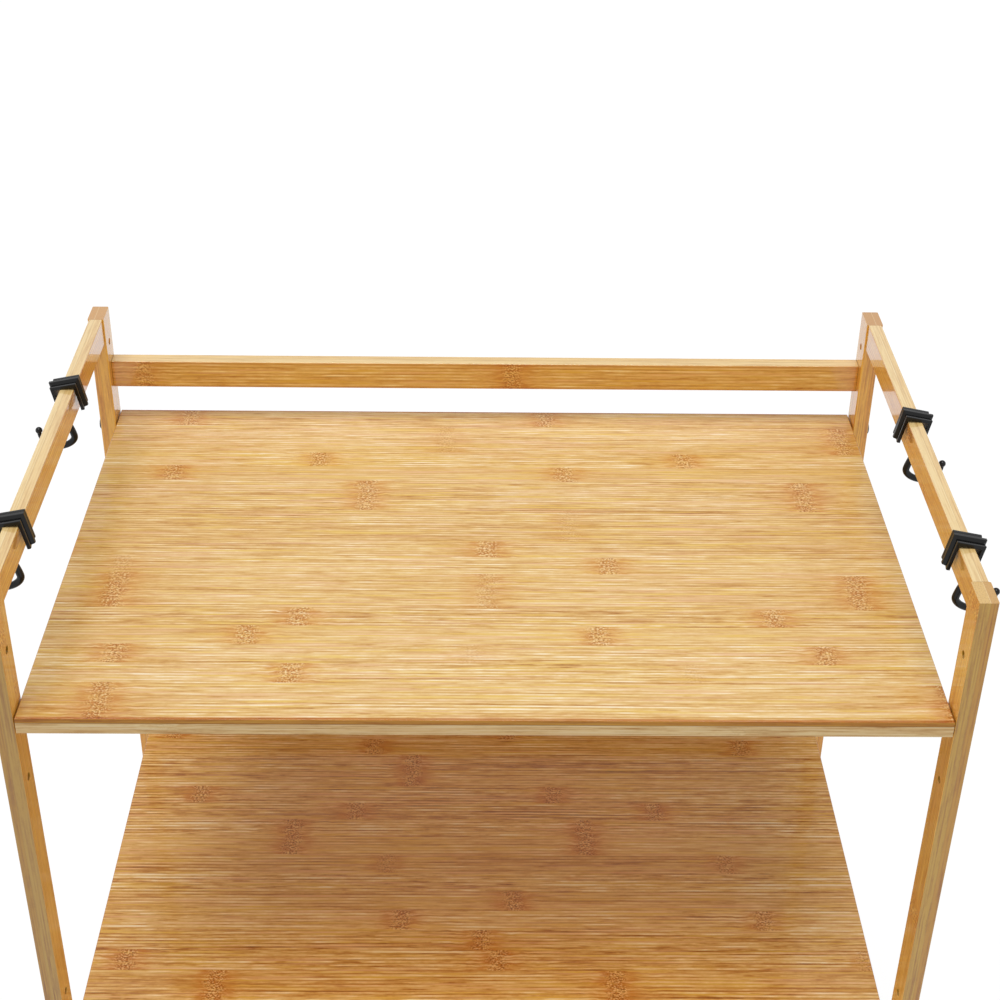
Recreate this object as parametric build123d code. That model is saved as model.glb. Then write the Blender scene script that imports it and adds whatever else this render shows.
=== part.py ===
from build123d import *
import os
from math import cos, sin, radians

# A three-tier rolling utility cart in laminated bamboo. Millimetres, +Z up.
# Origin: middle of the footprint, on the floor. The front of the cart faces -Y.

# ---------------------------------------------------------------- driving sizes
# posts and shelves
inner_width = 576.0          # clear width between the left and right posts
frame_depth = 380.0          # front face of the front posts to back face of the back posts
post_thickness = 12.0        # post, across the cart
post_depth = 22.0            # post, front to back
guard_height = 90.0          # post top above the top shelf
post_foot = 6.0              # post end below the underside of the bottom shelf
shelf_thickness = 12.0
shelf_end_gap = 0.6          # shelf end to post face
tier_pitch = 295.0           # shelf to shelf
tier_count = 3
arris = 0.8                  # rounding of every long bamboo edge

# rails
rail_thickness = 10.0        # side rails, across the cart
rail_height = 20.0
back_rail_thickness = 12.0
back_rail_height = 22.0
back_rail_lift = 28.0        # underside of a back rail above its shelf
back_rail_inset = 1.5        # back rail behind the back face of the posts
rail_end_gap = 0.2           # rail end to post face

# bolts, inserts, dowels and the holes for moving a shelf up or down
bolt_radius = 2.5
bolt_hole_clearance = 0.15
bolt_length = 30.0           # under the head
bolt_head_radius = 5.0
bolt_head_height = 2.6
hex_socket = 3.0             # across flats
hex_depth = 1.8
bolt_tip_chamfer = 0.6
bolt_tip_room = 2.0          # hole beyond the bolt's tip
insert_radius = 3.8
insert_length = 14.0
insert_clearance = 0.05
shelf_step = 50.0            # a shelf moves up or down by this much
back_rail_step = 27.0        # spare hole above each back rail bolt
dowel_radius = 2.5
dowel_length = 15.0
dowel_spacing = 10.0
dowel_clearance = 0.05
dowel_chamfer = 0.5

# hooks: a channel that clips over the side rail, and a round hook below it
hook_tilt = 11.5             # degrees; how far a hook leans outwards on its rail
hook_clearance = 0.3
hook_width = 14.4            # along the rail
hook_wall = 2.2              # at the lips along the channel's two edges
hook_lip = 1.6               # flat width of a lip
hook_groove = 0.6            # depth of the hollow between a lip and the ridge
hook_ridge_foot = 4.6        # the ridge down the middle of the channel's outside
hook_ridge_crest = 2.4
hook_ridge_height = 1.4
hook_edge = 0.45             # rounding of the channel's outer edges
hook_inner_reach = 16.5      # inner flank below the rail's top edge
hook_outer_reach = 19.0      # outer flank below the rail's top edge
hook_wire_root = 1.6         # half thickness of the round hook where it leaves the flank
hook_wire_radius = 2.3       # half thickness at the bottom of its bend
hook_wire_bulge = 2.4        # half width along the rail
hook_tip_radius = 1.4
hook_ball_radius = 2.5
hook_overlap = 1.0           # round hook into the flank
hook_bend_shift = 2.2        # back of the round hook, inwards of the outer flank
hook_bend_start = 38.8       # start of the bend below the rail's top edge
hook_bend_radius = 12.0      # centre line, across the bend
hook_bend_sag = 6.8          # bottom of the bend below its start
hook_tip_angle = 17.0        # degrees that the free end turns past upright
hook_insets_right = {"front": 64.0, "back": 162.0}    # from that end of the frame
hook_insets_left = {"front": 81.5, "back": 124.0}

# casters
wheel_radius = 25.0
tyre_width = 18.0
tyre_thickness = 7.0
tyre_crown = 1.6
tyre_shoulder = 2.0          # tread's edge below the crown's start
hub_barrel_radius = 8.0
hub_barrel_length = 20.4
hub_web = 3.0
hub_rim = 2.2
hub_rib_count = 6
hub_rib = 1.8
hub_rib_inset = 1.5          # ribs in from the rim's edges
bush_radius = 4.6
bush_wall = 1.5
fit_gap = 0.05               # between pieces pressed or moulded together
axle_clearance = 0.06        # axle in its bush, kingpin in its fork
axle_head_radius = 5.4
axle_head_height = 2.0
trail = 20.0                 # axle behind the swivel axis
crown_gap = 5.6              # tyre to the fork's crown
sheet = 2.2                  # steel sheet of plate and fork
fork_inner_width = 22.0
fork_eye_radius = 8.5
fork_bend = 3.2              # outside of the bend between crown and legs
fork_ear_radius = 3.8        # round the brake pin
crown_radius = 17.0
race_height = 3.4
ball_radius = 1.5
ball_count = 10
race_radius = 11.5
dish_depth = 2.6
dish_radius = 17.0
plate_length = 54.0
plate_width = 44.0
plate_corner = 6.0
plate_hole_x = 42.0
plate_hole_y = 32.0
plate_hole_radius = 2.3
screw_radius = 1.9
screw_length = 10.0
screw_head_radius = 3.8
screw_head_height = 2.0
screw_point = 2.0
screw_slot = 1.0
screw_hole_room = 0.5        # pilot hole beyond the point
kingpin_radius = 4.0
kingpin_head_radius = 6.8
kingpin_head_height = 2.0
running_gap = 0.3            # between faces that turn past each other
caster_side_inset = 45.0     # swivel axis inwards of the post's inner face
caster_front_inset = 42.0    # swivel axis inwards of the frame's front and back

# brake pedal on the front casters
pedal_pivot_x = 28.0         # behind the swivel axis
pedal_pivot_drop = 4.3       # below the crown's top
pedal_pin_radius = 2.0
pedal_barrel_radius = 3.5
pedal_width = 20.6           # between the fork's legs
pedal_pad_width = 29.0
pedal_pad_start = 36.5       # behind the swivel axis
pedal_reach = 57.0
pedal_sheet = 2.4
pedal_pad_drop = 5.0         # outer end of the pad below its pivot
brake_gap = 2.2              # shoe to tyre with the brake off
brake_shoe_angle = 50.0      # degrees round the wheel from the level
pedal_corner = 6.0
pedal_shoe_radius = 1.2
pedal_pin_head_radius = 3.4
pedal_pin_head_height = 1.2

# ---------------------------------------------------------------- derived places
half_inner = inner_width / 2
half_depth = frame_depth / 2
post_x = half_inner + post_thickness / 2
post_y = half_depth - post_depth / 2

wheel_top = 2 * wheel_radius
crown_under = wheel_top + crown_gap
crown_top = crown_under + sheet
dish_under = crown_top + race_height
board_under = dish_under + dish_depth + sheet
post_bottom = board_under - post_foot
tier_z = [board_under + tier * tier_pitch for tier in range(tier_count)]
tier_top = [z + shelf_thickness for z in tier_z]
post_top = tier_top[-1] + guard_height

rail_length = frame_depth - 2 * post_depth - 2 * rail_end_gap
rail_inner_x = post_x - rail_thickness / 2
shelf_length = inner_width - 2 * shelf_end_gap
back_rail_y = half_depth - back_rail_inset - back_rail_thickness / 2
back_rail_mid = back_rail_lift + back_rail_height / 2
caster_x = half_inner - caster_side_inset
caster_y = half_depth - caster_front_inset
bolt_hole_radius = bolt_radius + bolt_hole_clearance

SIDES = {"left": -1, "right": 1}
ENDS = {"front": -1, "back": 1}
CORNERS = {f"{end}_{side}": (SIDES[side], ENDS[end]) for end in ENDS for side in SIDES}

os.makedirs("parts", exist_ok=True)


def save(name, *solids):
    """Write one node: a single solid, or a group of separate ones."""
    shape = solids[0] if len(solids) == 1 else Compound(list(solids))
    export_step(shape, f"parts/{name}.step")


def rod_x(radius, length):
    """A round bar along +X, starting at the origin."""
    return Rot(0, 90, 0) * Cylinder(radius, length, align=(Align.CENTER, Align.CENTER, Align.MIN))


def rod_y(radius, length):
    """A round bar centred on the origin, along Y."""
    return Rot(90, 0, 0) * Cylinder(radius, length)


def stick(size_x, size_y, size_z):
    """A bamboo bar with its four long edges eased."""
    bar = Box(size_x, size_y, size_z)
    longest = max(size_x, size_y, size_z)
    long_edges = [edge for edge in bar.edges() if abs(edge.length - longest) < 1e-6]
    return fillet(long_edges, arris)


# ---------------------------------------------------------------- bolt and dowel places
def shelf_bolt_z(tier):
    return tier_z[tier] + shelf_thickness / 2


def back_rail_z(tier):
    return tier_top[tier] + back_rail_mid


def post_holes(end):
    """(y, z) of every cross hole in a post, y measured from the cart's middle."""
    y = ENDS[end] * post_y
    holes = []
    for tier in range(tier_count):
        for step in (-shelf_step, 0, shelf_step):
            z = shelf_bolt_z(tier) + step
            if step == 0 or z > rail_levels()["bottom"] + bolt_head_radius:
                holes.append((y, z))
    if end == "back":
        for tier in range(tier_count):
            holes.append((back_rail_y, back_rail_z(tier)))
            holes.append((y, back_rail_z(tier) + back_rail_step))
    return holes


def rail_levels():
    """Centre heights of the top and bottom side rails."""
    return {"top": post_top - rail_height / 2, "bottom": post_bottom + rail_height / 2}


def dowel_places(level):
    """(y, z) centres of the dowels that cross a rail's joints, in pairs."""
    joint = half_depth - post_depth
    return [(end * joint, level + half * dowel_spacing / 2) for end in (-1, 1) for half in (-1, 1)]


# ---------------------------------------------------------------- bamboo pieces
def post(side, end):
    middle = Pos(SIDES[side] * post_x, ENDS[end] * post_y, (post_top + post_bottom) / 2)
    body = middle * stick(post_thickness, post_depth, post_top - post_bottom)
    for y, z in post_holes(end):
        through = rod_x(bolt_hole_radius, 2 * post_thickness)
        body -= Pos(SIDES[side] * post_x - post_thickness, y, z) * through
    for level in rail_levels().values():
        for y, z in dowel_places(level):
            if y * ENDS[end] > 0:
                body -= Pos(SIDES[side] * post_x, y, z) * rod_y(
                    dowel_radius + dowel_clearance, dowel_length + 2 * dowel_clearance)
    return body


def side_rail(side, level):
    body = Pos(SIDES[side] * post_x, 0, level) * stick(rail_thickness, rail_length, rail_height)
    for y, z in dowel_places(level):
        body -= Pos(SIDES[side] * post_x, y, z) * rod_y(
            dowel_radius + dowel_clearance, dowel_length + 2 * dowel_clearance)
    return body


def insert_socket(side, end_x, y, z):
    """The blind hole for a threaded insert and the bolt's tip beyond it."""
    deep = bolt_length - post_thickness + bolt_tip_room
    hole = rod_x(insert_radius + insert_clearance, insert_length + insert_clearance)
    hole += rod_x(bolt_hole_radius, deep)
    turn = Rot(0, 0, 180) if side > 0 else Rot(0, 0, 0)
    return Pos(side * end_x, y, z) * turn * hole


def shelf(tier):
    board = Box(shelf_length, frame_depth, shelf_thickness)
    board = fillet(board.edges().filter_by(Axis.Z, reverse=True), arris)
    board = Pos(0, 0, shelf_bolt_z(tier)) * board
    for side, end in CORNERS.values():
        board -= insert_socket(side, shelf_length / 2, end * post_y, shelf_bolt_z(tier))
    if tier == 0:
        depth = screw_length - sheet + screw_hole_room
        pilot = Cylinder(screw_radius, depth, align=(Align.CENTER, Align.CENTER, Align.MIN))
        for x, y in screw_places():
            board -= Pos(x, y, board_under) * pilot
    return board


def back_rail(tier):
    length = inner_width - 2 * rail_end_gap
    bar = Pos(0, back_rail_y, back_rail_z(tier)) * stick(length, back_rail_thickness, back_rail_height)
    for side in SIDES.values():
        bar -= insert_socket(side, length / 2, back_rail_y, back_rail_z(tier))
    return bar


# ---------------------------------------------------------------- fasteners
def bolt():
    """Socket button-head bolt along -X, the underside of its head at the origin."""
    shank = Rot(0, 0, 180) * rod_x(bolt_radius, bolt_length)
    shank = chamfer(shank.faces().sort_by(Axis.X)[0].edges(), bolt_tip_chamfer)
    head = rod_x(bolt_head_radius, bolt_head_height)
    head = fillet(head.faces().sort_by(Axis.X)[-1].edges(), bolt_head_height * 0.7)
    socket = extrude(Plane.YZ.offset(bolt_head_height - hex_depth) * RegularPolygon(
        hex_socket / 2, 6, major_radius=False), hex_depth + 1)
    return shank + head - socket


def cross_bolt(side, y, z):
    turn = Rot(0, 0, 0) if side > 0 else Rot(0, 0, 180)
    return Pos(side * (half_inner + post_thickness), y, z) * turn * bolt()


def insert(side, end_x, y, z):
    """Threaded insert, a plain sleeve round the bolt's tip."""
    sleeve = rod_x(insert_radius, insert_length) - rod_x(bolt_hole_radius, insert_length)
    turn = Rot(0, 0, 180) if side > 0 else Rot(0, 0, 0)
    return Pos(side * end_x, y, z) * turn * sleeve


def dowels():
    rod = rod_y(dowel_radius, dowel_length)
    pin = chamfer(rod.edges().filter_by(GeomType.CIRCLE), dowel_chamfer)
    pins = []
    for side in SIDES.values():
        for level in rail_levels().values():
            for y, z in dowel_places(level):
                pins.append(Pos(side * post_x, y, z) * pin)
    return pins


def screw_places():
    """Centres of the sixteen caster screws."""
    return [
        (side * caster_x + dx * plate_hole_x / 2, end * caster_y + dy * plate_hole_y / 2)
        for side, end in CORNERS.values() for dx in (-1, 1) for dy in (-1, 1)
    ]


def plate_screw(x, y):
    """Pan-head screw, driven up through the caster plate."""
    under = board_under - sheet
    shank = screw_radius - fit_gap
    face = make_face(Polyline(
        (0, -screw_head_height), (screw_head_radius * 0.7, -screw_head_height),
        (screw_head_radius, -screw_head_height * 0.4), (screw_head_radius, 0),
        (shank, 0), (shank, screw_length - screw_point), (0, screw_length), close=True))
    body = revolve(Plane.XZ * face, Axis.Z)
    bar = screw_head_radius * 1.2
    slot = Box(bar, screw_slot, screw_slot) + Box(screw_slot, bar, screw_slot)
    return Pos(x, y, under) * (body - Pos(0, 0, -screw_head_height) * slot)


# ---------------------------------------------------------------- hook
def hook_section():
    """Cross section of the hook's channel: a strap with a lip along each edge and a ridge between."""
    right = [
        (hook_width / 2, 0),
        (hook_width / 2, hook_wall),
        (hook_width / 2 - hook_lip, hook_wall),
        (hook_ridge_foot / 2, hook_wall - hook_groove),
        (hook_ridge_crest / 2, hook_wall + hook_ridge_height)]
    left = [(-y, rise) for y, rise in reversed(right)]
    face = make_face(Polyline(*right, *left, close=True))
    outside = [corner for corner in face.vertices() if corner.Y >= hook_wall - hook_groove / 2]
    return fillet(outside, hook_edge)


def hook():
    """Right-hand hook at the middle of its rail, its free tip to the outside.

    Local u runs outwards across the rail's top, v up its flanks, both turned by the
    tilt at which the channel's flanks just bear on two opposite edges of the rail.
    """
    tilt = radians(hook_tilt)
    frame = Plane(
        origin=(rail_inner_x, 0, post_top), x_dir=(cos(tilt), 0, -sin(tilt)), z_dir=(0, -1, 0))
    inner_u = -hook_clearance
    outer_u = rail_thickness * cos(tilt) + rail_height * sin(tilt) + hook_clearance
    cap_v = rail_thickness * sin(tilt) + hook_clearance

    line = frame * Polyline(
        (inner_u, -hook_inner_reach), (inner_u, cap_v), (outer_u, cap_v), (outer_u, -hook_outer_reach))
    start = Plane(origin=line @ 0, x_dir=(0, 1, 0), z_dir=line % 0)
    channel = sweep(start * hook_section(), path=line, transition=Transition.RIGHT)

    spine_u = outer_u + (hook_wall + hook_ridge_height) / 2
    root = (spine_u, hook_overlap - hook_outer_reach)
    back = (spine_u - hook_bend_shift, -hook_bend_start)
    middle_u = back[0] + hook_bend_radius
    centre_v = back[1] - hook_bend_sag + hook_bend_radius
    path = Spline(root, back, tangents=((0, -1), (0, -1)))
    path += EllipticalCenterArc((middle_u, back[1]), hook_bend_radius, hook_bend_sag, 180, arc_size=90)
    path += CenterArc((middle_u, centre_v), hook_bend_radius, 270, 90 + hook_tip_angle)
    path = frame * path
    stations = (
        (0.0, hook_wire_root, hook_wire_bulge),
        (0.55, hook_wire_radius, hook_wire_bulge),
        (0.8, (hook_wire_radius + hook_tip_radius) / 2, (hook_wire_bulge + hook_tip_radius) / 2),
        (1.0, hook_tip_radius, hook_tip_radius))
    sections = []
    for place, thick, wide in stations:
        at = path.location_at(place)
        across = Plane(origin=at.position, x_dir=(0, 1, 0), z_dir=path.tangent_at(place))
        sections.append(across * Ellipse(wide, thick))
    wire = sweep(sections, path=path, multisection=True)
    ball = Pos(path @ 1) * Sphere(hook_ball_radius)
    return channel + wire + ball


# ---------------------------------------------------------------- casters
def caster_plate():
    """Mounting plate with a dish pressed down for the ball race. Swivel axis at the origin."""
    top = board_under
    plate = Pos(0, 0, top - sheet / 2) * Box(plate_length, plate_width, sheet)
    plate = fillet(plate.edges().filter_by(Axis.Z), plate_corner)
    dish_floor = dish_under + sheet
    bore = kingpin_radius + fit_gap
    cup = make_face(Polyline(
        (bore, dish_under), (dish_radius - sheet * 0.8, dish_under),
        (dish_radius, top - sheet), (dish_radius + sheet, top - sheet), (dish_radius + sheet, top),
        (dish_radius - sheet * 0.1, top), (dish_radius - sheet * 1.6, dish_floor), (bore, dish_floor),
        close=True))
    plate -= Pos(0, 0, top - sheet / 2) * Cylinder(dish_radius + sheet, 2 * sheet)
    plate += revolve(Plane.XZ * cup, Axis.Z)
    hole = Cylinder(plate_hole_radius, 4 * sheet)
    for dx in (-1, 1):
        for dy in (-1, 1):
            plate -= Pos(dx * plate_hole_x / 2, dy * plate_hole_y / 2, top) * hole
    return plate


def kingpin():
    """Rivet that holds the fork under the plate."""
    upper = dish_under + sheet
    lower = crown_under - running_gap
    shank = Pos(0, 0, lower) * Cylinder(
        kingpin_radius, upper - lower, align=(Align.CENTER, Align.CENTER, Align.MIN))
    head = Pos(0, 0, upper) * Cylinder(
        kingpin_head_radius, kingpin_head_height, align=(Align.CENTER, Align.CENTER, Align.MIN))
    foot = Pos(0, 0, lower) * Cylinder(
        kingpin_head_radius, kingpin_head_height, align=(Align.CENTER, Align.CENTER, Align.MAX))
    foot = fillet(foot.faces().sort_by(Axis.Z)[0].edges(), kingpin_head_height * 0.6)
    return shank + head + foot


def ball_race():
    """Balls between the plate's dish and the fork's crown."""
    z = crown_top + fit_gap + ball_radius
    return [
        Rot(0, 0, 360 * index / ball_count) * Pos(race_radius, 0, z) * Sphere(ball_radius)
        for index in range(ball_count)
    ]


def fork():
    """Pressed steel fork: a round crown, two legs that reach back to the axle, brake ears."""
    leg_outer = fork_inner_width / 2 + sheet
    eye = Pos(trail, wheel_radius) * Circle(fork_eye_radius)
    crown_line = Pos(0, crown_top - sheet) * Rectangle(1.7 * crown_radius, 2 * sheet)
    ear = Pos(pedal_pivot_x, crown_top - pedal_pivot_drop) * Circle(fork_ear_radius)
    side = make_hull((eye + crown_line + ear).edges())
    body = extrude(Plane.XZ * side, leg_outer, both=True)
    bent = Pos(0, crown_top / 2) * Rectangle(2 * leg_outer, crown_top)
    bent = fillet(bent.vertices().group_by(Axis.Y)[-1], fork_bend)
    body &= extrude(Plane.YZ * bent, 4 * crown_radius, both=True)
    slot_top = crown_under
    body -= Pos(0, 0, slot_top) * Box(
        8 * crown_radius, fork_inner_width, 2 * crown_top, align=(Align.CENTER, Align.CENTER, Align.MAX))
    body -= Pos(crown_radius * 0.95, 0, 0) * Box(
        4 * crown_radius, fork_inner_width, 4 * crown_top, align=(Align.MIN, Align.CENTER, Align.CENTER))
    body += Pos(0, 0, crown_under) * Cylinder(
        crown_radius, sheet, align=(Align.CENTER, Align.CENTER, Align.MIN))
    body -= Pos(0, 0, crown_under) * Cylinder(kingpin_radius + axle_clearance, 4 * sheet)
    body -= Pos(trail, 0, wheel_radius) * rod_y(axle_radius() + fit_gap, 4 * leg_outer)
    body -= Pos(pedal_pivot_x, 0, crown_top - pedal_pivot_drop) * rod_y(
        pedal_pin_radius + fit_gap, 4 * leg_outer)
    return body


def axle_radius():
    return bush_radius - bush_wall - axle_clearance


def headed_pin(radius, head_radius, head_height):
    """Rivet across the fork: a plain pin with a domed head outside each leg."""
    leg_outer = fork_inner_width / 2 + sheet
    pin = rod_y(radius, 2 * leg_outer + 2 * fit_gap)
    for way in (-1, 1):
        head = Pos(0, way * (leg_outer + fit_gap + head_height / 2), 0) * rod_y(head_radius, head_height)
        rim = head.faces().sort_by(Axis.Y)[-1 if way > 0 else 0].edges()
        pin += fillet(rim, head_height * 0.6)
    return pin


def axle():
    return Pos(trail, 0, wheel_radius) * headed_pin(axle_radius(), axle_head_radius, axle_head_height)


def tyre():
    """Rubber tread with a crowned face and rounded shoulders."""
    inner = wheel_radius - tyre_thickness
    half = tyre_width / 2
    shoulder = wheel_radius - tyre_crown - tyre_shoulder
    section = make_face(
        Line((inner, -half), (inner, half))
        + Line((inner, half), (shoulder, half))
        + ThreePointArc((shoulder, half), (wheel_radius, 0), (shoulder, -half))
        + Line((shoulder, -half), (inner, -half)))
    ring = revolve(section, Axis.Y)
    return Pos(trail, 0, wheel_radius) * ring


def hub():
    """Moulded wheel centre: barrel, thin web, rim, and ribs on both faces."""
    rim_outer = wheel_radius - tyre_thickness - fit_gap
    rim_half = tyre_width / 2
    barrel_half = hub_barrel_length / 2
    body = rod_y(rim_outer, 2 * rim_half) - rod_y(rim_outer - hub_rim, 2 * rim_half)
    body += rod_y(rim_outer - hub_rim / 2, hub_web)
    body += rod_y(hub_barrel_radius, 2 * barrel_half)
    reach = rim_outer - hub_rim / 2
    for index in range(hub_rib_count):
        spoke = Pos(reach / 2, 0, 0) * Box(reach, tyre_width - 2 * hub_rib_inset, hub_rib)
        body += Rot(0, 360 * index / hub_rib_count, 0) * spoke
    body -= rod_y(bush_radius + fit_gap, 4 * barrel_half)
    return Pos(trail, 0, wheel_radius) * body


def bush():
    sleeve = rod_y(bush_radius, hub_barrel_length) - rod_y(bush_radius - bush_wall, 2 * hub_barrel_length)
    return Pos(trail, 0, wheel_radius) * sleeve


def brake_pedal():
    """Foot pedal: barrel on its pin, a shoe over the tyre, and a broad pad to tread on."""
    pivot_z = crown_top - pedal_pivot_drop
    shoe_r = wheel_radius + brake_gap
    angle = radians(brake_shoe_angle)
    shoe = (trail + shoe_r * cos(angle), wheel_radius + shoe_r * sin(angle))
    barrel = Pos(pedal_pivot_x, pivot_z) * Circle(pedal_barrel_radius)
    foot = Pos(pedal_shoe_radius * cos(angle), pedal_shoe_radius * sin(angle)) * Circle(pedal_shoe_radius)
    foot = Pos(*shoe) * foot
    end = Circle(pedal_sheet / 2)
    pad_z = pivot_z - pedal_pad_drop * 0.35
    arm_end = Pos(pedal_pad_start + pedal_sheet, pad_z) * end
    web = make_hull((barrel + foot).edges()) + make_hull((barrel + arm_end).edges())
    web += make_hull((foot + arm_end).edges())
    body = extrude(Plane.XZ * web, pedal_width / 2, both=True)
    tip = Pos(pedal_reach - pedal_sheet / 2, pivot_z - pedal_pad_drop) * end
    pad_root = Pos(pedal_pad_start + pedal_sheet / 2, pad_z) * end
    pad = extrude(Plane.XZ * make_hull((tip + pad_root).edges()), pedal_pad_width / 2, both=True)
    outline = Pos((pedal_pad_start + pedal_reach) / 2, 0, pivot_z) * extrude(
        RectangleRounded(pedal_reach - pedal_pad_start, pedal_pad_width, pedal_corner), 20, both=True)
    body += pad & outline
    body -= Pos(pedal_pivot_x, 0, pivot_z) * rod_y(pedal_pin_radius + axle_clearance, 4 * pedal_width)
    return body


def pedal_pin():
    place = Pos(pedal_pivot_x, 0, crown_top - pedal_pivot_drop)
    return place * headed_pin(pedal_pin_radius, pedal_pin_head_radius, pedal_pin_head_height)


def at_corner(side, end):
    """Place a caster piece: the wheel trails outwards, away from the cart's middle."""
    turn = Rot(0, 0, 0) if side > 0 else Rot(0, 0, 180)
    return Pos(side * caster_x, end * caster_y, 0) * turn


# ---------------------------------------------------------------- write every node
for side_name in SIDES:
    for end_name in ENDS:
        save(f"post_{end_name}_{side_name}", post(side_name, end_name))
    for level_name, level_z in rail_levels().items():
        save(f"{level_name}_side_rail_{side_name}", side_rail(side_name, level_z))

tier_names = ["bottom", "middle", "top"]
for tier_index, tier_name in enumerate(tier_names[:tier_count]):
    save(f"shelf_{tier_name}", shelf(tier_index))
    save(f"back_rail_{tier_name}", back_rail(tier_index))

for side_name, side_sign in SIDES.items():
    save(f"shelf_bolts_{side_name}", *[
        cross_bolt(side_sign, end * post_y, shelf_bolt_z(tier))
        for tier in range(tier_count) for end in ENDS.values()])
save("shelf_inserts", *[
    insert(side, shelf_length / 2, end * post_y, shelf_bolt_z(tier))
    for tier in range(tier_count) for side, end in CORNERS.values()])
save("back_rail_bolts", *[
    cross_bolt(side, back_rail_y, back_rail_z(tier))
    for tier in range(tier_count) for side in SIDES.values()])
save("back_rail_inserts", *[
    insert(side, half_inner - rail_end_gap, back_rail_y, back_rail_z(tier))
    for tier in range(tier_count) for side in SIDES.values()])
save("rail_dowels", *dowels())

right_hook = hook()
left_hook = mirror(right_hook, about=Plane.YZ)
for end_name, end_sign in ENDS.items():
    right_place = end_sign * (half_depth - hook_insets_right[end_name])
    left_place = end_sign * (half_depth - hook_insets_left[end_name])
    save(f"hook_{end_name}_right", Pos(0, right_place, 0) * right_hook)
    save(f"hook_{end_name}_left", Pos(0, left_place, 0) * left_hook)

save("caster_screws", *[plate_screw(x, y) for x, y in screw_places()])
save("caster_kingpins", *[at_corner(side, end) * kingpin() for side, end in CORNERS.values()])
plate_shape = caster_plate()
fork_shape = fork()
hub_shape = hub()
tyre_shape = tyre()
for corner_name, (side_sign, end_sign) in CORNERS.items():
    place = at_corner(side_sign, end_sign)
    save(f"caster_plate_{corner_name}", place * plate_shape)
    save(f"caster_balls_{corner_name}", *[place * ball for ball in ball_race()])
    save(f"caster_fork_{corner_name}", place * fork_shape)
    save(f"caster_axle_{corner_name}", place * axle())
    save(f"wheel_hub_{corner_name}", place * hub_shape)
    save(f"wheel_bush_{corner_name}", place * bush())
    save(f"wheel_tyre_{corner_name}", place * tyre_shape)
    if end_sign < 0:
        save(f"brake_pedal_{corner_name}", place * brake_pedal())
        save(f"brake_pin_{corner_name}", place * pedal_pin())
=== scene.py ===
import math
from collections import namedtuple
from types import SimpleNamespace

import bpy
from mathutils import Matrix, Vector


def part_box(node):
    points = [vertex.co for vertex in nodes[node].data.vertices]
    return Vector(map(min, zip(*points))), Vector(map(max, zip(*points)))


# A bamboo rolling cart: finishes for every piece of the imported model, the studio and the camera.
# Metres and degrees. X runs across the cart, Y to the back, Z up; the floor is at Z = 0.

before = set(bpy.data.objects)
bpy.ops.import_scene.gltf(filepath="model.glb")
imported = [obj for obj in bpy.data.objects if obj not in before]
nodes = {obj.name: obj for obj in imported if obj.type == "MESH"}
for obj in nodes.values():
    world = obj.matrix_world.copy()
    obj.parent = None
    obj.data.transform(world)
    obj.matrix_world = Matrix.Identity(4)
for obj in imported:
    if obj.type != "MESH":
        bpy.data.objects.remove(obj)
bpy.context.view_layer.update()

X_AXIS, Y_AXIS, Z_AXIS = 0, 1, 2
ENDS = ("front", "back")
SIDES = ("left", "right")
CORNERS = [f"{end}_{side}" for end in ENDS for side in SIDES]

# ---------------------------------------------------------------- camera and studio
CAMERA_PLACE = (-0.0070, -1.0255, 1.3612)
CAMERA_PITCH = 32.55         # below the level
CAMERA_YAW = 0.92            # towards +X
CAMERA_ROLL = 0.84
CAMERA_LENS = 63.53          # millimetres, as is the sensor's width
SENSOR_WIDTH = 36.0

FLOOR_HALF = 12.0
FLOOR_BOUNCE = 0.74          # grey of the floor as it lights the cart
FLOOR_GLOW = 0.80            # share of plain light in what is seen of the floor
FLOOR_WHITE = 1.10           # strength of that light
SKY_LIGHT = 0.46             # ambient light from all round
KEY_TOWARDS = (0.10, 0.22, -1.0)
KEY_SPREAD = 38.0            # across the overhead light
KEY_STRENGTH = 1.85


# ---------------------------------------------------------------- colours
def srgb(red, green, blue):
    """A colour written as 0 to 255 display values, as Blender's linear one."""
    linear = []
    for value in (red, green, blue):
        share = value / 255
        linear.append(share / 12.92 if share <= 0.04045 else ((share + 0.055) / 1.055) ** 2.4)
    return (*linear, 1.0)


def toned(colour, factor, lift=0.0):
    """A colour made lighter or darker."""
    return tuple(min(1.0, part * factor + lift) for part in colour[:3]) + (1.0,)


WHITE = (1.0, 1.0, 1.0, 1.0)


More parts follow.
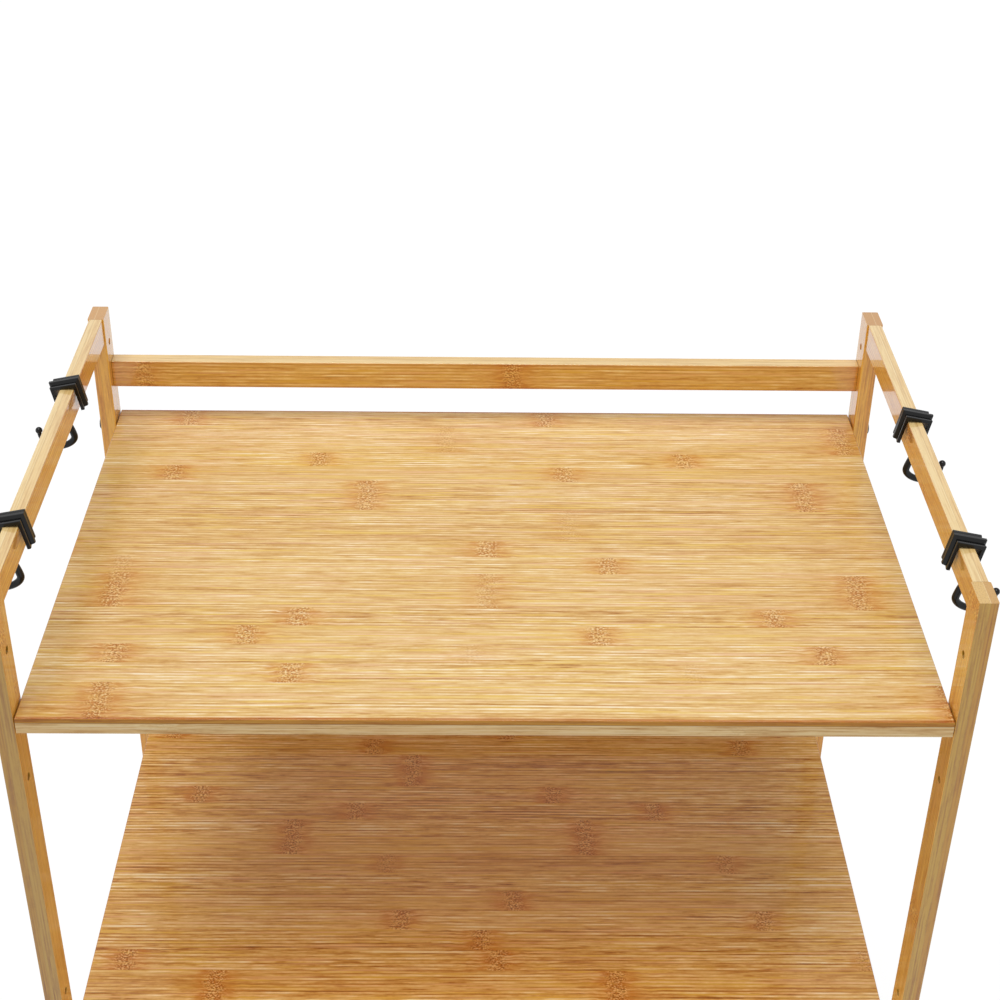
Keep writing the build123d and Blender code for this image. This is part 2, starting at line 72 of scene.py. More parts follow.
# ---------------------------------------------------------------- node trees
class Graph:
    """A shader node tree with one short call for each kind of node."""

    def __init__(self, tree):
        self.tree = tree
        tree.nodes.clear()

    def add(self, kind, **settings):
        node = self.tree.nodes.new(kind)
        for key, value in settings.items():
            setattr(node, key, value)
        return node

    def feed(self, socket, value):
        """Link a socket to an output, or set it to a plain number or colour."""
        if isinstance(value, bpy.types.NodeSocket):
            self.tree.links.new(value, socket)
        else:
            socket.default_value = value

    def math(self, operation, *values):
        node = self.add("ShaderNodeMath", operation=operation)
        for socket, value in zip(node.inputs, values):
            self.feed(socket, value)
        return node.outputs[0]

    def absolute(self, value):
        return self.math("ABSOLUTE", value)

    def product(self, first, second):
        return self.math("MULTIPLY", first, second)

    def sum(self, *values):
        total = values[0]
        for value in values[1:]:
            total = self.math("ADD", total, value)
        return total

    def scaled(self, value, factor, shift=0.0):
        return self.math("MULTIPLY_ADD", value, factor, shift)

    def centred(self, value, width):
        """A value from 0 to 1, as one from minus to plus half the width."""
        return self.scaled(value, width, -width / 2)

    def ease(self, value, low, high, start=0.0, end=1.0):
        """start below low, end above high, and a smooth step between."""
        node = self.add("ShaderNodeMapRange", interpolation_type="SMOOTHSTEP")
        for socket, number in zip(node.inputs, (value, low, high, start, end)):
            self.feed(socket, number)
        return node.outputs[0]

    def fade(self, value, near, far):
        """1 below near, 0 above far, and a smooth step between."""
        return self.ease(value, near, far, 1.0, 0.0)

    def vector(self, x, y, z):
        node = self.add("ShaderNodeCombineXYZ")
        for socket, value in zip(node.inputs, (x, y, z)):
            self.feed(socket, value)
        return node.outputs[0]

    def split(self, vector):
        node = self.add("ShaderNodeSeparateXYZ")
        self.feed(node.inputs[0], vector)
        return node.outputs

    def place(self):
        """The shaded point, in its piece's coordinates."""
        return self.add("ShaderNodeTexCoord").outputs["Object"]

    def noise(self, vector, scale=1.0, detail=2.0, roughness=0.5):
        node = self.add("ShaderNodeTexNoise")
        self.feed(node.inputs["Vector"], vector)
        node.inputs["Scale"].default_value = scale
        node.inputs["Detail"].default_value = detail
        node.inputs["Roughness"].default_value = roughness
        return node.outputs["Fac"]

    def drawn_noise(self, run, side, third, per_run, per_side, detail=2.0, roughness=0.5):
        """Noise drawn out along a grain, with its own number of features along it and across."""
        return self.noise(self.vector(self.scaled(run, per_run), self.scaled(side, per_side), third),
                          detail=detail, roughness=roughness)

    def voronoi(self, vector, scale):
        node = self.add("ShaderNodeTexVoronoi")
        self.feed(node.inputs["Vector"], vector)
        node.inputs["Scale"].default_value = scale
        return node.outputs["Distance"]

    def random(self, x, y, z):
        """Three random numbers from 0 to 1 that stay the same wherever the three given do."""
        node = self.add("ShaderNodeTexWhiteNoise", noise_dimensions="3D")
        self.feed(node.inputs["Vector"], self.vector(x, y, z))
        apart = self.add("ShaderNodeSeparateColor")
        self.tree.links.new(node.outputs["Color"], apart.inputs[0])
        return apart.outputs

    def mix(self, factor, first, second, blend="MIX"):
        node = self.add("ShaderNodeMix", data_type="RGBA", blend_type=blend)
        self.feed(node.inputs[0], factor)
        self.feed(node.inputs[6], first)
        self.feed(node.inputs[7], second)
        return node.outputs[2]

    def ramp(self, value, *stops):
        """A colour ramp from (place, colour) stops."""
        node = self.add("ShaderNodeValToRGB")
        self.feed(node.inputs[0], value)
        band = node.color_ramp
        while len(band.elements) < len(stops):
            band.elements.new(1.0)
        for element, (place, colour) in zip(band.elements, stops):
            element.position = place
            element.color = colour
        return node.outputs[0]

    def bump(self, height, strength, distance):
        node = self.add("ShaderNodeBump")
        node.inputs["Strength"].default_value = strength
        node.inputs["Distance"].default_value = distance
        self.feed(node.inputs["Height"], height)
        return node.outputs[0]

    def surface(self, colour, roughness, normal, **constants):
        """The Principled surface and the output."""
        shader = self.add("ShaderNodeBsdfPrincipled")
        self.feed(shader.inputs["Base Color"], colour)
        self.feed(shader.inputs["Roughness"], roughness)
        self.feed(shader.inputs["Normal"], normal)
        for key, value in constants.items():
            shader.inputs[key.replace("_", " ")].default_value = value
        output = self.add("ShaderNodeOutputMaterial")
        self.tree.links.new(shader.outputs[0], output.inputs[0])


def new_material(name):
    material = bpy.data.materials.new(name)
    material.use_nodes = True
    return material, Graph(material.node_tree)


def finish_with(material, *names):
    """Give CAD nodes a material in place of their plain one."""
    for name in names:
        mesh = nodes[name].data
        if not mesh.materials:
            mesh.materials.append(material)
        for slot in nodes[name].material_slots:
            slot.material = material


# ---------------------------------------------------------------- bamboo's measures
# Where two numbers stand for one measure, it eases in or out between them.
STRIP_WIDTH = 0.0200         # one bamboo strip of a board's face
PAIRED_SHARE = 0.40          # of the strips lie beside one from the same stick, knuckle by knuckle
PLY_SHIFT = 0.0083           # sideways, from the lower ply's strips to the upper one's
SEED_SHIFT = 0.0371          # sideways, from one piece's strips to those of the next seed
KNUCKLE_STEP = 0.225         # along a strip, from one knuckle to the next
KNUCKLE_SPREAD = 0.13        # how much longer that is on some strips
KNUCKLE_START = 7.0          # steps by which a strip's first knuckle is shifted at most
KNUCKLE_WANDER = 0.012       # along the strip, between a knuckle's foremost and hindmost point
KNUCKLE_ODDS = (0.04, 0.30)  # random numbers: below them it has no mark, above them a bold one
SPECK_REACH = (0.0020, 0.0106)    # how far from a knuckle its dots and dashes lie
SMEAR_REACH = (0.003, 0.022)      # how far its smears do
WEAVE_REACH = (0.004, 0.050)      # how far from it fibres weave, in its halo
WEAVE = 0.0044               # sideways, from the one end of that weaving to the other
EDGE_WEAVE = 0.0014          # the same on a narrow side
DRIFT = 0.0030               # how far all fibres stray sideways
WIDTH_SPREAD = 0.7           # how uneven the fibres' widths are, as a share of one
EDGE_FIBRE = 0.0009          # a line of fibres on a narrow side
SEAM_REACH = (0.008, 0.030)  # from a seam between strips, in strips
SEAM_ODDS = (0.30, 0.90)     # random numbers: below them a seam can't be seen, above them it is dark
GLUE_REACH = (0.0001, 0.0004)     # from the middle of the glue between two plies
RIM_REACH = (0.0014, 0.0030)      # from a wide face's long edges
END_REACH = (0.0, 0.16)      # from a piece's end, where its tint passes into that of its middle
TURNED = (0.55, 0.85)        # part of the normal along an axis, as a face turns to that axis
FLAT = (0.80, 0.99)          # largest part of the normal, from an eased edge to a flat face

# Each noise: features per metre along the grain and across it, detail and roughness.
# For lines, threads, flush and streak, the second is per line of fibres, and for wander both are
# of another kind: per strip, and per metre across it.
NOISES = {
    "wander": (3.1, 170.0, 2.0, 0.50),      # a knuckle's place
    "weave": (85.0, 150.0, 2.0, 0.50),
    "drift": (4.0, 14.0, 1.0, 0.50),
    "width": (2.0, 240.0, 2.0, 0.50),
    "lines": (30.0, 7.31, 4.0, 0.62),
    "threads": (5.0, 3.77, 2.0, 0.50),
    "fine": (70.0, 1100.0, 3.0, 0.62),
    "medium": (9.0, 520.0, 3.0, 0.50),
    "broad": (3.0, 110.0, 3.0, 0.50),
    "flush": (12.0, 9.13, 3.0, 0.50),       # of warmer and yellower fibres
    "smear": (85.0, 480.0, 3.0, 0.50),
    "speck": (620.0, 820.0, 2.0, 0.60),
    "streak": (26.0, 5.17, 4.0, 0.62),      # along a narrow side
    "blotch": (9.0, 40.0, 3.0, 0.50),       # on a narrow side
    "bundle": (1100.0, 1100.0, 2.0, 0.50),  # across and through a cut end
}
GRAIN_PER_DEPTH = 500.0      # features per metre from face to face, and so are the next two
SPECKS_PER_DEPTH = 820.0
BLOTCHES_PER_DEPTH = 420.0

# What each noise weighs in the grain's tone, and besides them the light and dark lines in turn.
GRAIN = {"lines": 0.66, "threads": 0.40, "fine": 0.58, "medium": 0.46, "broad": 0.19}
LINES_IN_TURN = 0.17
MIDDLE_TONE = 0.52
CALM_CONTRAST = 0.68         # share of the piece's contrast on the calmest strip
LIVELY_CONTRAST = 0.60       # what is added to that share on the liveliest one
STRIP_SHADES = 0.12          # tone from the darkest strip to the lightest
SEAM_SHADE = 0.14            # how much darker a seam is
KNUCKLE_SHADE = 0.03         # how much darker the fibres at a knuckle are
EDGE_MIDDLE_TONE = 0.46      # the same kinds of number for the narrow sides
EDGE_STREAKS = 1.30
EDGE_BLOTCHES = 0.60
EDGE_LINES_IN_TURN = 0.10

# ---------------------------------------------------------------- bamboo's colours
# A fleck's colour, how much of it shows, and where in its noise it begins and is full.
Fleck = namedtuple("Fleck", "colour share rise")

BOARD_TONES = (
    (0.00, srgb(128, 72, 26)),
    (0.20, srgb(178, 118, 52)),
    (0.38, srgb(208, 159, 88)),
    (0.52, srgb(227, 187, 119)),
    (0.66, srgb(239, 207, 149)),
    (0.82, srgb(250, 228, 186)),
    (1.00, srgb(255, 244, 216)),
)
EDGE_TONES = (               # what the streaks on a narrow side multiply its ply's colour by
    (0.10, srgb(196, 156, 92)),
    (0.50, srgb(251, 245, 228)),
    (0.75, WHITE),
)
ROSY_FIBRE = Fleck(srgb(236, 190, 148), 0.60, (0.52, 0.70))
YELLOW_FIBRE = Fleck(srgb(234, 196, 92), 0.65, (0.48, 0.30))
SMEAR = Fleck(srgb(198, 126, 46), 0.80, (0.42, 0.58))
DARK_SPECK = Fleck(srgb(150, 92, 34), 0.72, (0.51, 0.62))
PALE_SPECK = Fleck(srgb(255, 238, 186), 0.62, (0.48, 0.36))
BUNDLE = Fleck(srgb(160, 108, 56), 0.45, (0.48, 0.70))
HALO = srgb(226, 162, 74)
HALO_SHARE = 0.16            # of it where fibres weave
SMEARED_HALO_SHARE = 0.24    # more of it where there are smears
EDGE_SPECK = srgb(128, 78, 34)
EDGE_SPECK_SHARE = 0.10
GLUE = srgb(126, 84, 40)
GLUE_SHARE = 0.15            # of it on a narrow side without edge shading
GLUE_SHARE_WITH_EDGE_SHADING = 0.50     # more of it with full edge shading
END_GLUE = srgb(255, 240, 190)
END_GLUE_SHARE = 0.24
# Painted shade: the colour that eased edges, and a wide face's rim beside them, are multiplied by to
# a deeper colour.
PAINTED_EDGE_SHADE = srgb(206, 148, 52)
FACE_RIM_SHARE = 1.9         # of it in a wide face's rim, times the edge shading and the medium grain
EDGE_RIM_SHARE = 1.1         # the same on a narrow side

VARNISH_ROUGHNESS = 0.30     # under the coat
COAT_ROUGHNESS = 0.09


# ---------------------------------------------------------------- bamboo
def place_in(g, node, along, through, split):
    """Where a point of a piece is: along it, across it and up from its glue, and how it faces."""
    low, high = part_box(node)
    middle = (low + high) / 2
    half = (high - low) / 2
    across = 3 - along - through
    coordinates = g.add("ShaderNodeTexCoord")
    place = g.split(coordinates.outputs["Object"])
    normal = [g.absolute(part) for part in g.split(coordinates.outputs["Normal"])]
    at = SimpleNamespace()
    at.run = g.math("SUBTRACT", place[along], middle[along])
    at.side = g.math("SUBTRACT", place[across], middle[across])
    at.depth = g.math("SUBTRACT", place[through], low[through] + split * (high - low)[through])
    at.upper = g.math("GREATER_THAN", at.depth, 0.0)
    at.from_end = g.math("SUBTRACT", half[along], g.absolute(at.run))
    at.from_rim = g.math("SUBTRACT", half[across], g.absolute(at.side))
    at.on_edge = g.ease(normal[across], *TURNED)
    at.on_end = g.ease(normal[along], *TURNED)
    flatness = g.math("MAXIMUM", g.math("MAXIMUM", normal[0], normal[1]), normal[2])
    at.eased = g.fade(flatness, *FLAT)
    return at


def strips_of(g, at, seed):
    """What a strip is like at a point, and how near its seams and its knuckles are.

    What is added to a seed, or multiplies it, keeps one pattern from repeating another.
    """
    ply = g.scaled(at.upper, 5.0)     # a number of its own for each ply
    shifted = g.sum(at.side, seed * SEED_SHIFT, g.scaled(at.upper, PLY_SHIFT))
    strip_place = g.math("DIVIDE", shifted, STRIP_WIDTH)
    strip = g.math("FLOOR", strip_place)
    in_strip = g.math("FRACT", strip_place)
    second = g.scaled(g.math("FRACT", g.scaled(strip, 0.5)), 2.0)     # 1 for the second of a pair
    pair_chance = g.random(g.math("SUBTRACT", strip, second), seed, 2.5)[0]
    paired = g.math("GREATER_THAN", pair_chance, 1.0 - PAIRED_SHARE)
    stick = g.math("SUBTRACT", strip, g.product(second, paired))
    start, longer, shade = g.random(stick, ply, seed)

    step = g.scaled(longer, KNUCKLE_SPREAD, KNUCKLE_STEP)
    knuckle_place = g.sum(g.math("DIVIDE", at.run, step), g.scaled(start, KNUCKLE_START))
    knuckle = g.math("FLOOR", knuckle_place)
    in_step = g.math("SUBTRACT", g.math("FRACT", knuckle_place), 0.5)
    bold_chance, seam_chance, _ = g.random(stick, knuckle, seed + 0.5)
    wander = g.drawn_noise(strip, at.side, seed, *NOISES["wander"])
    distance = g.absolute(g.sum(g.product(in_step, step), g.centred(wander, KNUCKLE_WANDER)))
    boldness = g.ease(bold_chance, *KNUCKLE_ODDS)
    from_seam = g.math("MINIMUM", in_strip, g.math("SUBTRACT", 1.0, in_strip))

    strips = SimpleNamespace(shade=shade)
    strips.liveliness = g.random(strip, ply, seed + 0.7)[0]
    strips.specked = g.product(g.fade(distance, *SPECK_REACH), boldness)
    strips.smeared = g.product(g.fade(distance, *SMEAR_REACH), boldness)
    strips.woven = g.product(g.fade(distance, *WEAVE_REACH), boldness)
    strips.seam = g.product(g.fade(from_seam, *SEAM_REACH), g.ease(seam_chance, *SEAM_ODDS))
    return strips


def in_turn(g, number, paleness):
    """Light and dark in turn, as a line's number is odd or even, and the more so where it is pale."""
    sign = g.scaled(g.math("FRACT", g.scaled(number, 0.5)), 4.0, -1.0)
    return g.product(sign, g.scaled(paleness, 2.5, -0.85))


def fibres_of(g, at, strips, seed, contrast, fibre):
    """Thin lines side by side, light and dark in turn, which weave a little beside a knuckle."""
    weave = g.drawn_noise(at.run, at.side, seed * 3.0, *NOISES["weave"])
    drift = g.drawn_noise(at.run, at.side, seed * 5.0, *NOISES["drift"])
    width = g.drawn_noise(at.run, at.side, seed * 7.0, *NOISES["width"])
    side = g.sum(at.side, g.scaled(drift, DRIFT), g.scaled(width, WIDTH_SPREAD * fibre),
                 g.product(g.centred(weave, WEAVE), strips.woven))
    line = g.math("FLOOR", g.math("DIVIDE", side, fibre))
    layer = g.scaled(at.depth, GRAIN_PER_DEPTH, seed * 11.0)
    fibres = SimpleNamespace(weave=weave, side=side)
    fibres.lines = g.drawn_noise(at.run, line, layer, *NOISES["lines"])
    fibres.threads = g.drawn_noise(at.run, line, layer, *NOISES["threads"])
    fibres.fine = g.drawn_noise(at.run, side, layer, *NOISES["fine"])
    fibres.medium = g.drawn_noise(at.run, side, layer, *NOISES["medium"])
    fibres.broad = g.drawn_noise(at.run, side, layer, *NOISES["broad"])
    fibres.flush = g.drawn_noise(at.run, line, g.scaled(layer, 1.0, 7.0), *NOISES["flush"])

    grain = g.scaled(in_turn(g, line, fibres.lines), LINES_IN_TURN)
    for name, weight in GRAIN.items():
        grain = g.sum(g.centred(getattr(fibres, name), weight), grain)
    grain = g.product(grain, g.scaled(strips.liveliness, LIVELY_CONTRAST * contrast,
                                      CALM_CONTRAST * contrast))
    tone = g.sum(MIDDLE_TONE, grain, g.centred(strips.shade, STRIP_SHADES),
                 g.scaled(strips.woven, -KNUCKLE_SHADE))
    fibres.tone = g.math("SUBTRACT", tone, g.scaled(strips.seam, SEAM_SHADE))
    return fibres


def specks_of(g, at, specked):
    """The dark and the pale dots and dashes at a knuckle."""
    speck = g.drawn_noise(at.run, at.side, g.scaled(at.depth, SPECKS_PER_DEPTH), *NOISES["speck"])
    dark = g.product(g.ease(speck, *DARK_SPECK.rise), specked)
    pale = g.product(g.ease(speck, *PALE_SPECK.rise), specked)
    return dark, pale


def face_colour(g, at, strips, fibres, specks, seed, tints, contrast):
    """A wide face: its fibres, and over them a knuckle's golden halo, warm smears and specks."""
    face = g.ramp(fibres.tone, *BOARD_TONES)
    for fleck in (ROSY_FIBRE, YELLOW_FIBRE):
        face = g.mix(g.ease(fibres.flush, *fleck.rise, 0.0, fleck.share), face, fleck.colour)
    halo = g.sum(g.scaled(strips.woven, HALO_SHARE), g.scaled(strips.smeared, SMEARED_HALO_SHARE))
    face = g.mix(halo, face, HALO)
    smear = g.drawn_noise(at.run, fibres.side, seed + 4.0, *NOISES["smear"])
    smear = g.product(g.ease(smear, *SMEAR.rise), strips.smeared)
    face = g.mix(g.scaled(smear, min(1.0, SMEAR.share * contrast)), face, SMEAR.colour)
    dark, pale = specks
    face = g.mix(g.scaled(dark, min(1.0, DARK_SPECK.share * contrast)), face, DARK_SPECK.colour)
    face = g.mix(g.scaled(pale, PALE_SPECK.share), face, PALE_SPECK.colour)
    tint = g.mix(g.ease(at.from_end, *END_REACH), tints[1], tints[0])
    return g.mix(1.0, face, tint, blend="MULTIPLY")


def edge_colour(g, at, strips, fibres, dark, glue, seed, plies, streaks, edge_shading):
    """A narrow side: each ply in its own colour, with fine streaks, and the glue between."""
    depth = g.sum(g.product(g.centred(fibres.weave, EDGE_WEAVE), strips.woven), at.depth)
    line = g.math("FLOOR", g.math("DIVIDE", depth, EDGE_FIBRE))
    streak = g.drawn_noise(at.run, line, seed, *NOISES["streak"])
    blotch = g.drawn_noise(at.run, at.side, g.scaled(depth, BLOTCHES_PER_DEPTH), *NOISES["blotch"])
    tone = g.sum(g.centred(streak, EDGE_STREAKS), g.centred(blotch, EDGE_BLOTCHES),
                 g.scaled(in_turn(g, line, streak), EDGE_LINES_IN_TURN))
    tone = g.scaled(tone, streaks, EDGE_MIDDLE_TONE)
    edge = g.mix(at.upper, plies[0], plies[1])
    edge = g.mix(1.0, edge, g.ramp(tone, *EDGE_TONES), blend="MULTIPLY")
    edge = g.mix(g.scaled(dark, EDGE_SPECK_SHARE), edge, EDGE_SPECK)
    return g.mix(g.scaled(glue, GLUE_SHARE + GLUE_SHARE_WITH_EDGE_SHADING * edge_shading), edge, GLUE)


def end_colour(g, at, glue, seed, ends):
    """A cut end, where the fibre bundles show as dots."""
    bundle = g.drawn_noise(at.side, at.depth, seed, *NOISES["bundle"])
    end = g.mix(at.upper, ends[0], ends[1])
    end = g.mix(g.ease(bundle, *BUNDLE.rise, 0.0, BUNDLE.share), end, BUNDLE.colour)
    return g.mix(g.scaled(glue, END_GLUE_SHARE), end, END_GLUE)


def edge_shaded_colour(g, colour, at, medium, edge_shading):
    """Painted shade: eased edges are deeper in colour, and so is a wide face right beside them."""
    rim = g.product(g.fade(at.from_rim, *RIM_REACH), medium)
    rim = g.product(rim, g.scaled(at.on_edge, (EDGE_RIM_SHARE - FACE_RIM_SHARE) * edge_shading,
                                  FACE_RIM_SHARE * edge_shading))
    painted_shade = g.math("MAXIMUM", g.scaled(at.eased, edge_shading), rim)
    return g.mix(painted_shade, colour, PAINTED_EDGE_SHADE, blend="MULTIPLY")


def bamboo(node, along, through, seed, *, tints, plies, split, ends, contrast, fibre, streaks,
           edge_shading, gloss):
    """Laminated bamboo, its fibres along one axis and its plies stacked along another.

    tints multiply the strips' colours on the wide faces, midway along and at both ends. plies
    are the colours of the lower and upper ply on the narrow sides, split is the lower one's
    share, and ends are the colours of their cut ends. contrast is that of the grain and of the
    knuckles, fibre the width of one thin line, streaks how strong the narrow sides' lines are,
    edge_shading how much painted shade deepens the colour of the eased edges and of a wide
    face's rim beside them, and gloss the varnish's.
    """
    material, g = new_material(f"bamboo_{node}")
    at = place_in(g, node, along, through, split)
    strips = strips_of(g, at, seed)
    fibres = fibres_of(g, at, strips, seed, contrast, fibre)
    specks = specks_of(g, at, strips.specked)
    dark = specks[0]
    glue = g.fade(g.absolute(at.depth), *GLUE_REACH)
    face = face_colour(g, at, strips, fibres, specks, seed, tints, contrast)
    edge = edge_colour(g, at, strips, fibres, dark, glue, seed, plies, streaks, edge_shading)
    colour = g.mix(at.on_edge, face, edge)
    colour = g.mix(at.on_end, colour, end_colour(g, at, glue, seed, ends))
    colour = edge_shaded_colour(g, colour, at, fibres.medium, edge_shading)
    height = g.sum(g.scaled(fibres.lines, 0.6), g.scaled(fibres.medium, 0.4), g.scaled(dark, -0.8))
    roughness = g.sum(VARNISH_ROUGHNESS, g.scaled(fibres.fine, 0.14), g.scaled(strips.specked, 0.06))
    g.surface(colour, roughness, g.bump(height, strength=0.18, distance=0.00010),
              Specular_IOR_Level=0.5 * gloss, Coat_Weight=gloss, Coat_Roughness=COAT_ROUGHNESS)
    finish_with(material, node)


# ---------------------------------------------------------------- the bamboo pieces
# Colour values over 255 in a tint lighten what they multiply.
FIBRE = 0.0014
BOARD_ENDS = (srgb(220, 178, 112), srgb(206, 154, 84))
# The middle board's tints are painted shade: darker and warmer than the others, as the top board's
# shadow and its warm bounce light, and a little lighter towards the ends, where less of that shadow
# falls. The top board's end tint is painted shade, darker towards the posts.
BOARDS = {
    "bottom": dict(tints=(WHITE, WHITE), contrast=1.1, fibre=FIBRE),
    "middle": dict(tints=(srgb(251, 230, 200), srgb(254, 240, 218)), contrast=1.45, fibre=0.0016),
    "top": dict(tints=(WHITE, srgb(245, 240, 230)), contrast=1.0, fibre=FIBRE),
}
EVERY_BOARD = dict(plies=(srgb(243, 229, 188), srgb(208, 163, 62)), split=0.70, ends=BOARD_ENDS,
                   streaks=1.0, edge_shading=0.80, gloss=0.35)
BACK_RAIL = dict(tints=(srgb(255, 238, 190),) * 2, plies=(srgb(244, 221, 166), srgb(242, 215, 156)),
                 split=0.5, ends=BOARD_ENDS, contrast=1.05, fibre=FIBRE, streaks=0.6, edge_shading=0.30,
                 gloss=0.70)
SIDE_RAIL = dict(tints=(srgb(262, 234, 138),) * 2, plies=(srgb(242, 218, 164), srgb(240, 212, 154)),
                 ends=BOARD_ENDS, contrast=0.8, fibre=FIBRE, streaks=0.6, edge_shading=0.15, gloss=1.0)
EVERY_POST = dict(tints=(srgb(272, 252, 174),) * 2, contrast=0.8, fibre=FIBRE, streaks=1.0,
                  edge_shading=0.05, gloss=0.9)
# For each corner: the inner and outer ply of its post, then of their cut ends. The corners differ by
# painted light: the back posts' plies are warmer and more saturated as painted warm bounce light from
# the shelves, and the front left post's plies are darker as painted shade.
POSTS = {
    "front_left": (srgb(188, 148, 58), srgb(184, 138, 42), srgb(210, 168, 94), srgb(200, 152, 78)),
    "front_right": (srgb(200, 158, 56), srgb(196, 144, 38), srgb(218, 178, 102), srgb(202, 154, 76)),
    "back_left": (srgb(250, 194, 74), srgb(240, 176, 60), srgb(202, 146, 66), srgb(202, 146, 66)),
    "back_right": (srgb(250, 194, 74), srgb(240, 176, 60), srgb(194, 138, 60), srgb(194, 138, 60)),
}
INNER_PLY = 0.58             # the inner ply's share of a post or side rail

BOARD_SEEDS = {"bottom": 1.0, "middle": 3.0, "top": 5.0}
BACK_RAIL_SEEDS = {"bottom": 21.0, "middle": 22.0, "top": 23.0}
POST_SEEDS = {"front_left": 31.0, "front_right": 34.0, "back_left": 38.0, "back_right": 41.0}
SIDE_RAIL_SEEDS = {"left": 51.0, "right": 54.0}


def finish_bamboo():
    for tier, board in BOARDS.items():
        bamboo(f"shelf_{tier}", X_AXIS, Z_AXIS, BOARD_SEEDS[tier], **board, **EVERY_BOARD)
        bamboo(f"back_rail_{tier}", X_AXIS, Y_AXIS, BACK_RAIL_SEEDS[tier], **BACK_RAIL)
    for side in SIDES:
        # the plies go from -X to +X, which at the right is from the inner one to the outer one
        order = 1 if side == "right" else -1
        split = INNER_PLY if side == "right" else 1.0 - INNER_PLY
        for corner in [f"{end}_{side}" for end in ENDS]:
            inner, outer, inner_end, outer_end = POSTS[corner]
            bamboo(f"post_{corner}", Z_AXIS, X_AXIS, POST_SEEDS[corner], split=split,
                   plies=(inner, outer)[::order], ends=(inner_end, outer_end)[::order], **EVERY_POST)
        for level in ("top", "bottom"):
            bamboo(f"{level}_side_rail_{side}", Y_AXIS, X_AXIS, SIDE_RAIL_SEEDS[side], split=split,
                   **SIDE_RAIL)


# ---------------------------------------------------------------- plastics, rubber and metals
HOOK_BLACK = srgb(3, 3, 4)
PEDAL_BLACK = srgb(30, 30, 32)
HUB_GREY = srgb(92, 94, 97)
TYRE_GREY = srgb(52, 53, 55)
BLACK_STEEL = srgb(58, 58, 60)
BRASS = srgb(206, 168, 92)
ZINC = srgb(196, 198, 202)
DOWEL_DARK = srgb(190, 146, 96)
DOWEL_LIGHT = srgb(226, 190, 142)


def moulded_plastic(name, names, colour, roughness, gloss):
    """Black or grey moulding with a fine spark-eroded skin and faint worn patches."""
    material, g = new_material(name)
    place = g.place()
    skin = g.noise(place, scale=2600.0, detail=3.0, roughness=0.6)
    rub = g.noise(place, scale=70.0, detail=3.0)
    shade = g.ramp(g.sum(g.scaled(rub, 0.7), g.scaled(skin, 0.3)), (0.25, colour),
                   (0.80, toned(colour, 1.9, 0.003)))
    rough = g.sum(roughness - 0.06, g.scaled(rub, 0.12))
    g.surface(shade, rough, g.bump(skin, strength=0.18, distance=0.00006), Specular_IOR_Level=gloss)
    finish_with(material, *names)


def metal(name, names, colour, roughness):
    """Zinc-plated or blackened steel, or brass: faint spangle, brushed scratches."""
    material, g = new_material(name)
    place = g.place()
    x, y, z = g.split(place)
    spangle = g.voronoi(place, scale=330.0)
    scratch = g.drawn_noise(x, y, g.scaled(z, 1400.0), per_run=90.0, per_side=1400.0)
    cloud = g.noise(place, scale=60.0, detail=3.0)
    tone = g.sum(g.scaled(spangle, 0.25), g.scaled(scratch, 0.25), g.scaled(cloud, 0.55))
    shade = g.ramp(tone, (0.20, toned(colour, 0.72)), (0.75, colour))
    rough = g.sum(roughness - 0.08, g.scaled(cloud, 0.12), g.scaled(scratch, 0.08))
    g.surface(shade, rough, g.bump(scratch, strength=0.10, distance=0.00005), Metallic=1.0)
    finish_with(material, *names)


def rubber(name, names, colour):
    """Grey rubber tread: dusty in patches, with a fine moulded texture."""
    material, g = new_material(name)
    place = g.place()
    dust = g.noise(place, scale=140.0, detail=4.0, roughness=0.6)
    grit = g.noise(place, scale=1800.0, detail=2.0)
    shade = g.ramp(g.sum(g.scaled(dust, 0.8), g.scaled(grit, 0.2)), (0.30, colour),
                   (0.78, toned(colour, 1.5, 0.01)))
    g.surface(shade, g.scaled(dust, 0.25, 0.50), g.bump(grit, strength=0.25, distance=0.00010),
              Specular_IOR_Level=0.35)
    finish_with(material, *names)


def dowel_wood(name, names):
    """Hardwood, its grain along Y."""
    material, g = new_material(name)
    x, y, z = g.split(g.place())
    grain = g.drawn_noise(x, y, g.scaled(z, 1100.0), per_run=1100.0, per_side=60.0, detail=3.0)
    shade = g.ramp(grain, (0.30, DOWEL_DARK), (0.70, DOWEL_LIGHT))
    g.surface(shade, g.scaled(grain, 0.2, 0.45), g.bump(grain, strength=0.3, distance=0.0001))
    finish_with(material, *names)


def at_corners(*parts):
    return [f"{part}_{corner}" for part in parts for corner in CORNERS]


def at_brakes(part):
    return [f"{part}_front_{side}" for side in SIDES]


def finish_hardware():
    moulded_plastic("black_plastic", at_corners("hook"), HOOK_BLACK, roughness=0.20, gloss=0.30)
    dowel_wood("dowel_wood", ["rail_dowels"])
    metal("black_steel", ["shelf_bolts_left", "shelf_bolts_right", "back_rail_bolts"],
          BLACK_STEEL, roughness=0.42)
    metal("brass", ["shelf_inserts", "back_rail_inserts"], BRASS, roughness=0.34)
    plated = ["caster_screws", "caster_kingpins"]
    plated += at_corners("caster_plate", "caster_balls", "caster_fork", "caster_axle")
    plated += at_brakes("brake_pin")
    metal("zinc_steel", plated, ZINC, roughness=0.30)
    moulded_plastic("pedal_plastic", at_brakes("brake_pedal"), PEDAL_BLACK, roughness=0.42, gloss=0.4)
    moulded_plastic("hub_plastic", at_corners("wheel_hub", "wheel_bush"), HUB_GREY,
                    roughness=0.40, gloss=0.5)
    rubber("tyre_rubber", at_corners("wheel_tyre"), TYRE_GREY)


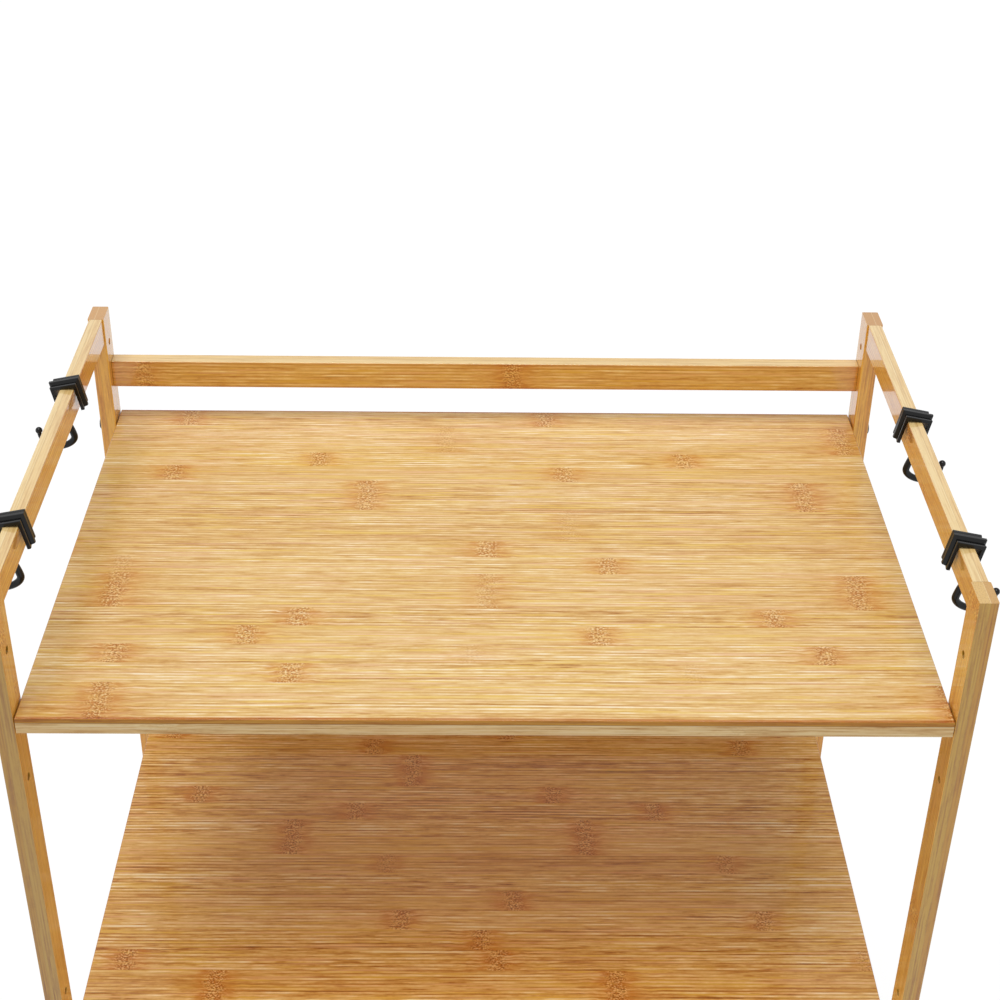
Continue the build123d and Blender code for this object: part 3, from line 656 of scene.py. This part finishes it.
# ---------------------------------------------------------------- studio
def make_camera():
    data = bpy.data.cameras.new("camera")
    data.sensor_width = SENSOR_WIDTH
    data.lens = CAMERA_LENS
    camera = bpy.data.objects.new("camera", data)
    camera.matrix_world = (
        Matrix.Translation(CAMERA_PLACE)
        @ Matrix.Rotation(math.radians(-CAMERA_YAW), 4, "Z")
        @ Matrix.Rotation(math.radians(90.0 - CAMERA_PITCH), 4, "X")
        @ Matrix.Rotation(math.radians(CAMERA_ROLL), 4, "Z"))
    bpy.context.scene.collection.objects.link(camera)
    bpy.context.scene.camera = camera


def seen_directly(g):
    """1 where the eye, a mirror or glass looks straight at the surface, 0 where it lights others."""
    path = g.add("ShaderNodeLightPath")
    seen = g.math("MAXIMUM", path.outputs["Is Camera Ray"], path.outputs["Is Glossy Ray"])
    return g.math("MAXIMUM", seen, path.outputs["Is Transmission Ray"])


def make_floor():
    mesh = bpy.data.meshes.new("floor")
    edge = FLOOR_HALF
    mesh.from_pydata([(-edge, -edge, 0), (edge, -edge, 0), (edge, edge, 0), (-edge, edge, 0)], [],
                     [(0, 1, 2, 3)])
    floor = bpy.data.objects.new("floor", mesh)
    bpy.context.scene.collection.objects.link(floor)
    material, g = new_material("floor")
    mesh.materials.append(material)
    paint = g.add("ShaderNodeBsdfDiffuse")
    paint.inputs["Color"].default_value = (FLOOR_BOUNCE, FLOOR_BOUNCE, FLOOR_BOUNCE, 1.0)
    glow = g.add("ShaderNodeEmission")
    glow.inputs["Strength"].default_value = FLOOR_WHITE
    mixed = g.add("ShaderNodeMixShader")
    g.feed(mixed.inputs[0], g.scaled(seen_directly(g), FLOOR_GLOW))
    g.tree.links.new(paint.outputs[0], mixed.inputs[1])
    g.tree.links.new(glow.outputs[0], mixed.inputs[2])
    output = g.add("ShaderNodeOutputMaterial")
    g.tree.links.new(mixed.outputs[0], output.inputs[0])


def make_sky():
    world = bpy.data.worlds.new("sky")
    bpy.context.scene.world = world
    world.use_nodes = True
    g = Graph(world.node_tree)
    light = g.add("ShaderNodeBackground")
    g.feed(light.inputs["Strength"], g.scaled(seen_directly(g), 1.0 - SKY_LIGHT, SKY_LIGHT))
    light.inputs["Color"].default_value = WHITE
    output = g.add("ShaderNodeOutputWorld")
    g.tree.links.new(light.outputs[0], output.inputs[0])


def make_key():
    """The broad overhead light."""
    data = bpy.data.lights.new("key", "SUN")
    data.energy = KEY_STRENGTH
    data.angle = math.radians(KEY_SPREAD)
    light = bpy.data.objects.new("key", data)
    light.rotation_euler = Vector(KEY_TOWARDS).to_track_quat("-Z", "Y").to_euler()
    bpy.context.scene.collection.objects.link(light)


finish_bamboo()
finish_hardware()
make_camera()
make_floor()
make_sky()
make_key()
bpy.context.scene.view_settings.view_transform = "Standard"
